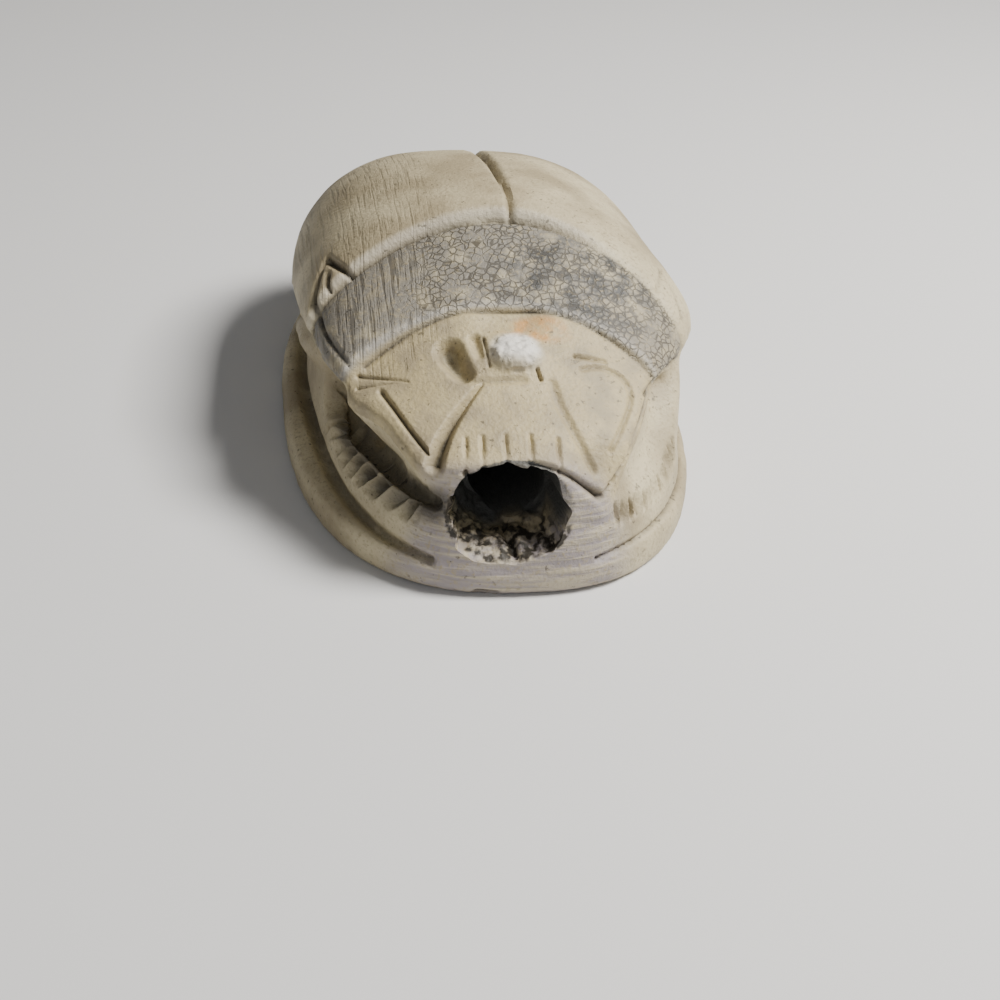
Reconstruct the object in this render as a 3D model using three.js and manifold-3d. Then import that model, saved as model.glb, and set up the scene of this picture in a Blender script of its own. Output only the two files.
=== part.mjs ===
// A scarab amulet: a beetle crouching on an oval base, carved from one piece of pale steatite and
// drilled lengthwise. Millimetres, +Z up, the head towards -Y, the origin under the middle of the base.

import * as THREE from "three";
import { mergeVertices } from "three/addons/utils/BufferGeometryUtils.js";
import Module from "manifold-3d";

const wasm = await Module();
wasm.setup();

// ---- Driving dimensions ----

const BASE = {
  halfWidth: 7.6,
  halfLength: 12,
  squareness: 2.5,
  rim: 1.25,
  chamfer: 0.13,
  top: 1.75,
  topShare: 0.86,
};
const LEGS = { halfWidth: 7, halfLength: 11.95, squareness: 2.5, offset: 0.45, rearOffset: 0, ridge: 3.05 };
const BACK = {
  halfWidth: 7.25,
  squareness: 2.6,
  rearSquareness: 3,
  front: -10,
  rear: 11.7,
  middle: 0.2,
  offset: 0.3,
  rearOffset: 0,
  rightPinch: 0.27,
};
const CREST = { height: 9.55, fall: 0.4, easing: 1.7, roundness: 1.8 };
const EDGE = { rear: 4.4, front: 5.4, from: 3, to: -3.2, thickness: 0.6, wallShare: 0.84 };
const COLLAR = { apex: -5.1, curve: 0.052 };
const WAIST = { apex: -1.3, curve: 0.035, halfSpan: 6.9 };
const HEAD = {
  middle: -0.45,
  centre: -8,
  edge: -11.05,
  edgeHeight: 4.68,
  slope: 0.464,
  crown: 0.052,
  waist: 0.86,
};
const MOUTH = { x: -0.5, z: 3.08, halfWidth: 2.2, halfHeight: 1.75, depth: 3.4, sides: 11 };
const BORE = { x: -0.3, z: 2.95, radius: 1.3, sides: 20 };
const FOOT_GROOVE = { height: 1.45, width: 0.36, end: 3.4 };
const FOOT = 1;

const AROUND = 72;
const ARCH_STEPS = 10;
const CHANNEL_STEP = 0.9;
const FULL_TURN = 2 * Math.PI;

// ---- Solids from three.js geometry ----

function solidFrom(geometry) {
  const plain = geometry.clone();
  plain.deleteAttribute("normal");
  plain.deleteAttribute("uv");
  const merged = mergeVertices(plain);
  const mesh = new wasm.Mesh({
    numProp: 3,
    vertProperties: new Float32Array(merged.attributes.position.array),
    triVerts: new Uint32Array(merged.index.array),
  });
  return new wasm.Manifold(mesh);
}

function geometryFrom(solid) {
  const mesh = solid.getMesh();
  const geometry = new THREE.BufferGeometry();
  geometry.setAttribute("position", new THREE.BufferAttribute(mesh.vertProperties, mesh.numProp));
  geometry.setIndex(new THREE.BufferAttribute(mesh.triVerts, 1));
  geometry.computeVertexNormals();
  return geometry;
}

function cutAll(solid, cutters) {
  return cutters.reduce((rest, cutter) => rest.subtract(cutter), solid);
}

// The outer skin alone: pockets sealed in between joined forms are filled.
function outerSkin(solid) {
  return solid.decompose().reduce((largest, shell) => (shell.volume() > largest.volume() ? shell : largest));
}

function signedPower(value, power) {
  return Math.sign(value) * Math.abs(value) ** power;
}

function smoothStep(from, to, value) {
  return THREE.MathUtils.smoothstep((value - from) / (to - from), 0, 1);
}

// A closed form shaped from a sphere. Each level, from the bottom pole to the top one, takes a share
// of the outline and a height, which is a number or a function of the place.
function levelledForm(outline, levels) {
  const rows = levels.length - 1;
  const geometry = new THREE.SphereGeometry(1, AROUND, rows);
  const position = geometry.attributes.position;
  for (let row = 0; row <= rows; row += 1) {
    const { share, height } = levels[rows - row];
    for (let column = 0; column <= AROUND; column += 1) {
      const turn = ((column % AROUND) / AROUND) * FULL_TURN;
      const [x, y] = outline(turn, share);
      const z = typeof height === "function" ? height(x, y) : height;
      position.setXYZ(row * (AROUND + 1) + column, x, y, z);
    }
  }
  return solidFrom(geometry);
}

// How far the middle line of a hand-cut oval strays sideways, in front and at the rear.
function sideways({ offset = 0, rearOffset = offset }, y) {
  return THREE.MathUtils.lerp(offset, rearOffset, smoothStep(-4, 4, y));
}

// Its half width: towards the front the right side may draw in more than the left one.
function halfWidthAt({ halfWidth, rightPinch = 0 }, side, y) {
  return side > 0 ? halfWidth * (1 - rightPinch * smoothStep(-2, -9, y)) : halfWidth;
}

// A rounded oval between an ellipse and a rectangle.
function oval(form) {
  const { front, rear, middle = 0, rearSquareness = form.squareness } = form;
  return (turn, share) => {
    const squareness = Math.sin(turn) > 0 ? rearSquareness : form.squareness;
    const across = signedPower(Math.cos(turn), 2 / squareness);
    const along = signedPower(Math.sin(turn), 2 / squareness);
    const reach = along < 0 ? middle - front : rear - middle;
    const y = middle + share * reach * along;
    return [sideways(form, y) + share * halfWidthAt(form, across, y) * across, y];
  };
}

const baseOutline = oval({ ...BASE, front: -BASE.halfLength, rear: BASE.halfLength });
const legOutline = oval({ ...LEGS, front: -LEGS.halfLength, rear: LEGS.halfLength });
const backOutline = oval(BACK);

// A round-bottomed or knife-cut channel along a line of points: its sides set how round it is.
function channel(points, width, sides = 4) {
  const curve = new THREE.CatmullRomCurve3(points.map((point) => new THREE.Vector3(...point)));
  const section = new THREE.Shape();
  for (let side = 0; side < sides; side += 1) {
    const turn = (side / sides) * FULL_TURN;
    const [u, v] = [(width / 2) * Math.cos(turn), (width / 2) * Math.sin(turn)];
    if (side === 0) section.moveTo(u, v);
    else section.lineTo(u, v);
  }
  section.closePath();
  const steps = Math.max(2, Math.ceil(curve.getLength() / CHANNEL_STEP));
  return solidFrom(new THREE.ExtrudeGeometry(section, { steps, extrudePath: curve, bevelEnabled: false }));
}

// ---- The base and the block that the legs are carved from ----

function carveBase() {
  return levelledForm(baseOutline, [
    { share: 0, height: 0 },
    { share: 0.985, height: 0 },
    { share: 1, height: BASE.chamfer },
    { share: 1, height: BASE.rim - BASE.chamfer },
    { share: 0.985, height: BASE.rim },
    { share: BASE.topShare, height: BASE.top },
    { share: 0, height: BASE.top },
  ]);
}

// The legs' top: a terrace round the head that climbs to the edge of the back behind it.
function legTop(x, y) {
  const climb = x > 0 ? smoothStep(-8.5, -4.5, y) : smoothStep(-4.5, -1.5, y);
  return THREE.MathUtils.lerp(LEGS.ridge, edgeHeight(y) - 0.2, climb);
}

function carveLegBlock() {
  return levelledForm(legOutline, [
    { share: 0, height: FOOT },
    { share: 1, height: FOOT },
    { share: 0.995, height: FOOT_GROOVE.height + 0.3 },
    { share: 0.985, height: LEGS.ridge - 0.3 },
    { share: 0.955, height: (x, y) => legTop(x, y) - 0.05 },
    { share: 0.85, height: (x, y) => legTop(x, y) + 0.1 },
    { share: 0, height: LEGS.ridge },
  ]);
}

// ---- Prothorax and wing cases: one dome ----

function edgeHeight(y) {
  return THREE.MathUtils.lerp(EDGE.rear, EDGE.front, smoothStep(EDGE.from, EDGE.to, y));
}

function crestHeight(y) {
  const ahead = Math.max(0, BACK.middle - y);
  return CREST.height - (CREST.fall * ahead ** 2) / (ahead + CREST.easing);
}

function archHeight(share, y) {
  const arch = (1 - Math.min(1, share) ** CREST.roundness) ** (1 / CREST.roundness);
  return THREE.MathUtils.lerp(edgeHeight(y), crestHeight(y), arch);
}

function backHeight(x, y) {
  const aside = x - sideways(BACK, y);
  const across = Math.abs(aside / halfWidthAt(BACK, aside, y));
  const reach = y < BACK.middle ? BACK.middle - BACK.front : BACK.rear - BACK.middle;
  const along = Math.abs((y - BACK.middle) / reach);
  const squareness = y < BACK.middle ? BACK.squareness : BACK.rearSquareness;
  const share = (across ** squareness + along ** squareness) ** (1 / squareness);
  return archHeight(share, y);
}

function carveDome() {
  const arch = [];
  for (let step = 0; step <= ARCH_STEPS; step += 1) {
    const lift = (step / ARCH_STEPS) * (Math.PI / 2);
    const share = step === ARCH_STEPS ? 0 : Math.cos(lift) ** (2 / CREST.roundness);
    arch.push({ share, height: (x, y) => archHeight(share, y) });
  }
  const underside = (x, y) => edgeHeight(y) - EDGE.thickness / 2;
  const ceiling = (x, y) => edgeHeight(y) - EDGE.thickness;
  return levelledForm(backOutline, [
    { share: 0, height: FOOT },
    { share: EDGE.wallShare, height: FOOT },
    { share: EDGE.wallShare + 0.02, height: ceiling },
    { share: 0.975, height: underside },
    ...arch,
  ]);
}

function collarLine(x) {
  return COLLAR.apex - COLLAR.curve * (x - HEAD.middle) ** 2;
}

function waistLine(x) {
  return WAIST.apex - WAIST.curve * x ** 2;
}

// What stands in front of the collar, cut away down to the foot of the legs.
function collarCutter() {
  const reach = 9;
  const steps = 24;
  const shape = new THREE.Shape();
  shape.moveTo(-reach, -LEGS.halfLength - 2);
  shape.lineTo(reach, -LEGS.halfLength - 2);
  for (let step = 0; step <= steps; step += 1) {
    const x = reach * (1 - (2 * step) / steps);
    shape.lineTo(x, collarLine(x));
  }
  const geometry = new THREE.ExtrudeGeometry(shape, { depth: CREST.height, bevelEnabled: false });
  geometry.translate(0, 0, FOOT - 0.5);
  return solidFrom(geometry);
}

// ---- Head ----

function headHeight(x, y) {
  return HEAD.edgeHeight + HEAD.slope * (y - HEAD.edge) - HEAD.crown * (x - HEAD.middle) ** 2;
}

// The head from above, from under the collar round to the corner of the front edge.
const LEFT_CHEEK = [
  [-3.5, -5],
  [-5.3, -6.2],
  [-5.5, -7.2],
  [-5.1, -7.8],
  [-4.5, -8.6],
  [-4, -9.4],
  [-3, -10.6],
  [-2.3, HEAD.edge],
];
const RIGHT_CHEEK = [
  [3, -5],
  [5, -6],
  [5, -6.9],
  [4.3, -8.6],
  [3.5, -10.1],
  [2.6, -10.85],
  [1.6, HEAD.edge],
];

function headOutline() {
  const back = [HEAD.middle, -4.6];
  const corners = [back, ...LEFT_CHEEK, ...RIGHT_CHEEK.toReversed(), back];
  const path = new THREE.Path(corners.map(([x, y]) => new THREE.Vector2(x, y)));
  const points = path.getSpacedPoints(AROUND);
  return (turn, share) => {
    const point = points[Math.round((turn / FULL_TURN) * AROUND)];
    const x = HEAD.middle + share * (point.x - HEAD.middle);
    return [x, HEAD.centre + share * (point.y - HEAD.centre)];
  };
}

// The cheeks overhang: the head is narrower where it meets the legs.
function carveHead() {
  const rounding = 0.15;
  const outline = headOutline();
  const pinched = (turn, share) => {
    const [x, y] = outline(turn, Math.min(1, share));
    return [share > 1 ? THREE.MathUtils.lerp(HEAD.middle, x, HEAD.waist) : x, y];
  };
  return levelledForm(pinched, [
    { share: 0, height: FOOT },
    { share: 2, height: FOOT },
    { share: 2, height: LEGS.ridge },
    { share: 1, height: (x, y) => headHeight(x, y) - rounding },
    { share: 0.975, height: headHeight },
    { share: 0.7, height: headHeight },
    { share: 0.35, height: headHeight },
    { share: 0, height: headHeight },
  ]);
}

// ---- Lines on the back ----

function onBack(points) {
  return points.map(([x, y]) => [x, y, backHeight(x, y)]);
}

function sampled(from, to, count, place) {
  return Array.from({ length: count + 1 }, (_, index) => place(from + ((to - from) * index) / count));
}

function backChannels() {
  const wingSeam = sampled(WAIST.apex - 0.1, BACK.rear - 0.3, 12, (y) => [0.45 - 0.02 * y, y]);
  const waist = sampled(-WAIST.halfSpan, WAIST.halfSpan, 18, (x) => [x, waistLine(x)]);
  const channels = [channel(onBack(wingSeam), 0.5), channel(onBack(waist), 0.42)];
  for (const side of [-1, 1]) {
    const shoulder = [
      [5.5, -2.3],
      [5.8, -1.5],
      [6.05, -0.8],
      [6.25, -1.7],
      [6.3, -2.6],
    ];
    channels.push(channel(onBack(shoulder.map(([x, y]) => [side * x, y])), 0.3));
  }
  return channels;
}

// ---- Lines on the head ----

const HEAD_LINES = [
  { width: 0.46, points: [[-1.3, -8.2], [-1.8, -8.7], [-2.4, -9.6], [-3.1, -11]] },
  { width: 0.24, points: [[1.4, -8.2], [1.6, -9.2], [2, -10.3], [2.15, -11.2]] },
  { width: 0.2, points: [[-5.3, -7.4], [-4.2, -8.7], [-3.3, -10]] },
  { width: 0.2, points: [[2.2, -7.3], [3.3, -6.9], [4.3, -7.3], [3.8, -8.8], [3.2, -10.1]] },
];
const TOOTH_GAPS = [-1.9, -1.4, -0.6, 0.2, 1.1];

function headChannels() {
  return HEAD_LINES.map(({ width, points }) => {
    const places = points.map(([x, y]) => [x, y, headHeight(x, y)]);
    return channel(places, width);
  });
}

// Short cuts, knife-shaped, that part the teeth of the front edge.
function toothCutters() {
  const y = HEAD.edge + 0.15;
  return TOOTH_GAPS.map((x) => {
    const geometry = new THREE.BoxGeometry(0.26, 1.6, 0.26);
    geometry.rotateY(Math.PI / 4);
    geometry.rotateX(Math.atan(HEAD.slope) + 0.2);
    geometry.translate(x, y, headHeight(x, y));
    return solidFrom(geometry);
  });
}

// ---- Lines on the legs ----

function legTurn(side, x) {
  const across = Math.abs((x - LEGS.offset) / LEGS.halfWidth);
  const turn = Math.acos(across ** (LEGS.squareness / 2));
  return side > 0 ? FULL_TURN - turn : Math.PI + turn;
}

const BRISTLES = [-4.1, -4.45, -4.8, -5.15, -5.45, -5.75, -6, 3.9, 4.4, 4.9, 5.35, 5.75, 6.1, 6.4];

// Knife-cut bristles down the outer face of each foreleg.
function bristleCutters() {
  return BRISTLES.map((place) => {
    const [x, y] = legOutline(legTurn(Math.sign(place), place), 0.97);
    const geometry = new THREE.BoxGeometry(0.26, 0.26, 1.5);
    geometry.rotateZ(Math.PI / 4);
    geometry.rotateY(-0.35);
    geometry.rotateZ(Math.atan2(y, x) * 0.95);
    geometry.translate(x, y, LEGS.ridge - 0.25);
    return solidFrom(geometry);
  });
}

// The line between the legs and the base, open at the front where the hole is.
function footChannels() {
  return [-1, 1].map((side) => {
    const frontTurn = legTurn(side, side * FOOT_GROOVE.end);
    const rearTurn = (side > 0 ? 2 : 1) * FULL_TURN - frontTurn;
    const line = sampled(frontTurn, rearTurn, 28, (turn) => [...legOutline(turn, 1), FOOT_GROOVE.height]);
    return channel(line, FOOT_GROOVE.width);
  });
}

// Middle and hind legs folded along each flank: the turn round the base, and the height.
const FOLDED_LEGS = [
  [[-0.25, 4.6], [-0.02, 3.7], [0.22, 2.5], [0.4, 1.1]],
  [[0.16, 4.4], [0.4, 3.5], [0.68, 2.3], [0.95, 0.9]],
];

function flankLegs() {
  const legs = [];
  for (const side of [-1, 1]) {
    for (const line of FOLDED_LEGS) {
      const places = line.map(([turn, z]) => {
        const [x, y] = baseOutline(turn, 0.86);
        return [side * x, y, z];
      });
      legs.push(channel(places, 1.75, 8));
    }
  }
  return legs;
}

// ---- The drilled hole, its broken mouth and other losses ----

function boreCutter() {
  const bore = new THREE.CylinderGeometry(BORE.radius, BORE.radius, 2 * LEGS.halfLength + 4, BORE.sides);
  bore.translate(BORE.x, 0, 0);
  const mouth = new THREE.CylinderGeometry(0.58, 1.06, MOUTH.depth, MOUTH.sides);
  mouth.scale(MOUTH.halfWidth, 1, MOUTH.halfHeight);
  mouth.translate(MOUTH.x, -LEGS.halfLength + MOUTH.depth / 2 - 0.4, MOUTH.z - BORE.z);
  return [bore, mouth].map((geometry) => {
    geometry.translate(0, 0, BORE.z);
    return solidFrom(geometry);
  });
}

function hornStump() {
  const stump = new THREE.DodecahedronGeometry(1, 1);
  stump.scale(0.85, 0.85, 0.45);
  stump.translate(0.05, -6.85, headHeight(0.05, -6.85));
  return solidFrom(stump);
}

function hornHollow() {
  const hollow = new THREE.BoxGeometry(1, 1.1, 0.7);
  hollow.rotateY(0.5);
  hollow.rotateX(0.25);
  hollow.translate(-1.9, -7.1, headHeight(-1.9, -7.1) + 0.12);
  return solidFrom(hollow);
}

function baseChip() {
  const chip = new THREE.CylinderGeometry(0.5, 0.5, 0.7, 7);
  chip.scale(1, 1, 0.5);
  chip.translate(-0.95, -BASE.halfLength, 0);
  return solidFrom(chip);
}

// ---- The amulet ----

function carveScarab() {
  const dome = carveDome().subtract(collarCutter());
  const raised = [carveHead(), carveLegBlock(), ...flankLegs(), hornStump()];
  const beetle = outerSkin(raised.reduce((whole, form) => whole.add(form), dome).add(carveBase()));
  const lines = [...backChannels(), ...headChannels(), ...toothCutters(), ...bristleCutters()];
  const losses = [...footChannels(), hornHollow(), baseChip(), ...boreCutter()];
  return cutAll(beetle, [...lines, ...losses]);
}

const stone = new THREE.MeshStandardMaterial({ color: 0xd8cfb8, roughness: 0.62, metalness: 0 });
const amulet = new THREE.Mesh(geometryFrom(carveScarab()), stone);
amulet.name = "scarab";

const scarab = new THREE.Group();
scarab.add(amulet);

export default scarab;
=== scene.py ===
"""A scarab amulet: a beetle crouching on an oval base, carved by hand from pale glazed steatite.

The stone is one piece. It is shaped in millimetres from a few blanks, joined, carved line by line, and
brought to metres at the end. The head faces -Y, +Z is up, and the origin is under the middle of the base.
"""

import logging
import math
from dataclasses import dataclass, field, replace
from enum import Enum
from typing import Callable, Sequence

import bpy
import numpy as np
from mathutils import Matrix, Vector

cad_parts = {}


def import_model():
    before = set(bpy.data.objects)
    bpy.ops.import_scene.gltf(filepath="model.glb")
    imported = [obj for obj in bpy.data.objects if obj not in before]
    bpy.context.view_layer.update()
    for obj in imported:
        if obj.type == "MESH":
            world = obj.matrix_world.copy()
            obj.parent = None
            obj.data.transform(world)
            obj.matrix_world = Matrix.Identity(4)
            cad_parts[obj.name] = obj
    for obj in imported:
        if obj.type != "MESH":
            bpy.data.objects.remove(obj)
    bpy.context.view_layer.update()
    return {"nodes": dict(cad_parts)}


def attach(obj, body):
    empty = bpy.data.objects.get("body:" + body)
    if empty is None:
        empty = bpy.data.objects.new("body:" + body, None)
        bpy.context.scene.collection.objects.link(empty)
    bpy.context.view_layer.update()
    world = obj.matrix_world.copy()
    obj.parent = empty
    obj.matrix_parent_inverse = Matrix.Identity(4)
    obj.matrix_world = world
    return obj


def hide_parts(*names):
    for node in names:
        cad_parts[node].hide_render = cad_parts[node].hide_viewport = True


LOG = logging.getLogger("scarab")
MM = 0.001
FULL_TURN = 2 * math.pi

Array = np.ndarray
Outline = Callable[[Array, float], tuple[Array, Array]]
Height = Callable[[Array, Array], Array]
Points = Sequence[tuple[float, ...]]


# ---- Numbers ----


def smooth_step(low: float, high: float, value: Array) -> Array:
    """Eases from 0 at low to 1 at high; low may be the larger of the two."""
    share = np.clip((value - low) / (high - low), 0, 1)
    return share * share * (3 - 2 * share)


def blend(first: Array, second: Array, share: Array) -> Array:
    """Mixes two values by a share from 0 to 1."""
    return first + (second - first) * share


def lattice_noise(points: Array, seed: int) -> Array:
    """Smooth noise between -1 and 1 on a unit lattice, the same at every run.

    Args:
        points: Places, one row each, in lattice units.
        seed: Picks one of many noises.

    Returns:
        One value for each place.
    """
    cell = np.floor(points).astype(np.int64)
    inside = points - cell
    ease = inside * inside * (3 - 2 * inside)
    total = np.zeros(len(points))
    for corner in np.ndindex(2, 2, 2):
        spot = cell + np.array(corner)
        mixed = (spot[:, 0] * 73856093) ^ (spot[:, 1] * 19349663) ^ (spot[:, 2] * 83492791)
        mixed = (mixed ^ (seed * 2654435761)) & 0xFFFFFFFF
        mixed = ((mixed ^ (mixed >> 15)) * 2246822519) & 0xFFFFFFFF
        mixed = ((mixed ^ (mixed >> 13)) * 3266489917) & 0xFFFFFFFF
        value = ((mixed ^ (mixed >> 16)) & 0xFFFF) / 0x7FFF - 1
        weight = np.prod(np.where(np.array(corner) == 1, ease, 1 - ease), axis=1)
        total += value * weight
    return total


def cloud_noise(points: Array, grain: float, seed: int, octaves: int = 3) -> Array:
    """Several lattice noises, each half as large and half as strong as the last.

    Args:
        points: Places in millimetres.
        grain: Size of the largest lumps, in millimetres.
        seed: Picks one of many noises.
        octaves: How many noises are summed.

    Returns:
        One value for each place, mostly between -1 and 1.
    """
    total = np.zeros(len(points))
    for octave in range(octaves):
        total += lattice_noise(points * (2**octave / grain), seed + octave) / 2**octave
    return total / 1.5


def walk(points: Array, path: Points) -> tuple[Array, Array]:
    """Finds how far each point lies from a broken line, and how far along it.

    Args:
        points: Places in millimetres.
        path: Corners of the line.

    Returns:
        The distances, and the shares of the line's length from 0 to 1.
    """
    corners = np.array(path, float)
    lengths = np.linalg.norm(np.diff(corners, axis=0), axis=1)
    starts = np.concatenate([[0], np.cumsum(lengths)])
    nearest = np.full(len(points), np.inf)
    share = np.zeros(len(points))
    for index, length in enumerate(lengths):
        direction = (corners[index + 1] - corners[index]) / length
        reach = np.clip((points - corners[index]) @ direction, 0, length)
        gap = np.linalg.norm(points - corners[index] - reach[:, None] * direction, axis=1)
        closer = gap < nearest
        nearest = np.where(closer, gap, nearest)
        share = np.where(closer, (starts[index] + reach) / starts[-1], share)
    return nearest, share


# ---- The forms of the beetle ----


@dataclass(frozen=True)
class Oval:
    """An oval between an ellipse and a rectangle, hand cut, so its middle line may stray sideways."""

    half_width: float
    front: float
    rear: float
    middle: float = 0.0
    squareness: float = 2.5
    rear_squareness: float = 2.5
    offset: float = 0.0
    rear_offset: float = 0.0
    right_pinch: float = 0.0

    def sideways(self, y: Array) -> Array:
        """Where the middle line runs at y."""
        return blend(self.offset, self.rear_offset, smooth_step(-4, 4, y))

    def width_at(self, side: Array, y: Array) -> Array:
        """Half width at y: towards the front the right side may draw in more than the left one."""
        pinch = np.where(side > 0, self.right_pinch * smooth_step(-2, -9, y), 0)
        return self.half_width * (1 - pinch)

    def place(self, turn: Array, share: float) -> tuple[Array, Array]:
        """Points at a share of the way from the middle to the outline.

        Args:
            turn: Angles round the oval, counter-clockwise from +X.
            share: 1 on the outline, 0 in the middle.

        Returns:
            The x and y of each point.
        """
        power = 2 / np.where(np.sin(turn) > 0, self.rear_squareness, self.squareness)
        across = np.sign(np.cos(turn)) * np.abs(np.cos(turn)) ** power
        along = np.sign(np.sin(turn)) * np.abs(np.sin(turn)) ** power
        reach = np.where(along < 0, self.middle - self.front, self.rear - self.middle)
        y = self.middle + share * reach * along
        return self.sideways(y) + share * self.width_at(across, y) * across, y

    def share_at(self, x: Array, y: Array) -> Array:
        """How far out a point lies: 1 on the outline, 0 in the middle."""
        aside = x - self.sideways(y)
        across = np.abs(aside / self.width_at(aside, y))
        reach = np.where(y < self.middle, self.middle - self.front, self.rear - self.middle)
        along = np.abs((y - self.middle) / reach)
        power = np.where(y < self.middle, self.squareness, self.rear_squareness)
        return (across**power + along**power) ** (1 / power)


@dataclass(frozen=True)
class Contour:
    """A closed outline through a few corners, counter-clockwise, with rounded corners."""

    corners: Points
    centre: tuple[float, float]
    rounding: int = 6

    def place(self, turn: Array, share: float) -> tuple[Array, Array]:
        """Points at a share of the way from the centre to the outline, evenly spaced along it.

        Args:
            turn: Angles from 0 to a full turn, taken as shares of the outline's length.
            share: 1 on the outline, 0 in the centre.

        Returns:
            The x and y of each point.
        """
        corners = np.array([*self.corners, self.corners[0]], float)
        steps = np.concatenate([[0], np.cumsum(np.linalg.norm(np.diff(corners, axis=0), axis=1))])
        dense = np.linspace(0, steps[-1], 721)[:-1]
        line = np.stack([np.interp(dense, steps, corners[:, axis]) for axis in (0, 1)], axis=1)
        for _ in range(self.rounding):
            line = (np.roll(line, 3, axis=0) + 2 * line + np.roll(line, -3, axis=0)) / 4
        spot = (turn % FULL_TURN) / FULL_TURN * len(line)
        index = np.arange(len(line) + 1)
        closed = np.vstack([line, line[:1]])
        x = np.interp(spot, index, closed[:, 0])
        y = np.interp(spot, index, closed[:, 1])
        return self.centre[0] + share * (x - self.centre[0]), self.centre[1] + share * (y - self.centre[1])


@dataclass(frozen=True)
class Level:
    """One ring of a blank: an outline, the share of it that is taken, and the height there."""

    outline: Outline
    share: float
    height: float | Height

    def ring(self, turn: Array) -> Array:
        """The ring's points at the given angles."""
        x, y = self.outline(turn, self.share)
        z = self.height(x, y) if callable(self.height) else np.full(len(x), float(self.height))
        return np.stack([x, y, z], axis=1)


def take_points(piece: bpy.types.Object) -> Array:
    """The piece's vertices as rows of x, y and z."""
    points = np.empty(len(piece.data.vertices) * 3)
    piece.data.vertices.foreach_get("co", points)
    return points.reshape(-1, 3)


def set_points(piece: bpy.types.Object, points: Array) -> None:
    """Puts the piece's vertices at the given places."""
    piece.data.vertices.foreach_set("co", points.ravel())
    piece.data.update()


def take_normals(piece: bpy.types.Object) -> Array:
    """The piece's vertex normals as rows."""
    normals = np.empty(len(piece.data.vertices) * 3)
    piece.data.vertices.foreach_get("normal", normals)
    return normals.reshape(-1, 3)


def only(piece: bpy.types.Object) -> bpy.types.Object:
    """Makes the piece the active object and the only selected one."""
    bpy.ops.object.select_all(action="DESELECT")
    piece.select_set(True)
    bpy.context.view_layer.objects.active = piece
    return piece


def named(name: str) -> bpy.types.Object:
    """Names the object that was just added, and returns it."""
    piece = bpy.context.object
    piece.name = name
    return piece


def levelled_form(name: str, levels: Sequence[Level], around: int = 288) -> bpy.types.Object:
    """A closed blank: a sphere whose rings are moved to the given levels.

    Args:
        name: The blank's name.
        levels: From the bottom pole to the top one.
        around: Points on each ring.

    Returns:
        The blank.
    """
    bpy.ops.mesh.primitive_uv_sphere_add(segments=around, ring_count=len(levels) - 1, radius=1)
    piece = named(name)
    points = take_points(piece)
    climb = np.arccos(np.clip(-points[:, 2], -1, 1)) / math.pi
    ring = np.rint(climb * (len(levels) - 1)).astype(int)
    turn = np.arctan2(points[:, 1], points[:, 0]) % FULL_TURN
    for index, level in enumerate(levels):
        here = ring == index
        points[here] = level.ring(turn[here])
    set_points(piece, points)
    return piece


def apply_modifier(piece: bpy.types.Object, kind: str, **settings: object) -> None:
    """Adds a modifier to the piece with its settings, and applies it.

    Args:
        piece: What is modified.
        kind: The modifier's type.
        settings: The modifier's own settings.
    """
    only(piece)
    bpy.ops.object.modifier_add(type=kind)
    modifier = piece.modifiers[-1]
    for key, value in settings.items():
        setattr(modifier, key, value)
    bpy.ops.object.modifier_apply(modifier=modifier.name)


def cut_away(piece: bpy.types.Object, cutter: bpy.types.Object) -> None:
    """Cuts the cutter's shape out of the piece, and clears the cutter away."""
    apply_modifier(piece, "BOOLEAN", operation="DIFFERENCE", solver="EXACT", object=cutter)
    bpy.data.objects.remove(cutter)


def fuse(pieces: Sequence[bpy.types.Object], name: str, voxel: float) -> bpy.types.Object:
    """Joins closed blanks into one skin of even squares.

    Args:
        pieces: The blanks.
        name: The joined piece's name.
        voxel: Side of a square, in millimetres.

    Returns:
        The joined piece.
    """
    bpy.ops.object.select_all(action="DESELECT")
    for piece in pieces:
        piece.select_set(True)
    bpy.context.view_layer.objects.active = pieces[0]
    bpy.ops.object.join()
    whole = named(name)
    apply_modifier(whole, "REMESH", mode="VOXEL", voxel_size=voxel, adaptivity=0)
    return whole


def relax(piece: bpy.types.Object, rounds: int, strength: Array | float = 0.5) -> None:
    """Evens out the skin by moving each vertex towards the middle of its neighbours.

    Args:
        piece: The skin.
        rounds: How often.
        strength: How far each vertex goes, for all or for each.
    """
    edges = np.empty(len(piece.data.edges) * 2, int)
    piece.data.edges.foreach_get("vertices", edges)
    first, second = edges.reshape(-1, 2).T
    points = take_points(piece)
    count = np.bincount(np.concatenate([first, second]), minlength=len(points))
    weight = np.broadcast_to(strength, len(points))[:, None]
    for _ in range(rounds):
        total = np.zeros_like(points)
        for axis in range(3):
            total[:, axis] += np.bincount(first, points[second, axis], len(points))
            total[:, axis] += np.bincount(second, points[first, axis], len(points))
        points += weight * (total / np.maximum(count, 1)[:, None] - points)
    set_points(piece, points)


@dataclass(frozen=True)
class BaseBlank:
    """The oval base that the beetle crouches on."""

    outline: Oval = Oval(half_width=7.6, front=-12, rear=12)
    rim: float = 1.25
    top: float = 1.42
    chamfer: float = 0.14

    def build(self) -> bpy.types.Object:
        """Shapes the base, its upper edge a little worn."""
        place = self.outline.place
        return levelled_form(
            "base_blank",
            [
                Level(place, 0, 0),
                Level(place, 0.988, 0),
                Level(place, 1, self.chamfer),
                Level(place, 1, self.rim - 2 * self.chamfer),
                Level(place, 0.992, self.rim - 0.4 * self.chamfer),
                Level(place, 0.975, self.rim),
                Level(place, 0.88, self.top),
                Level(place, 0, self.top),
            ],
        )


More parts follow.
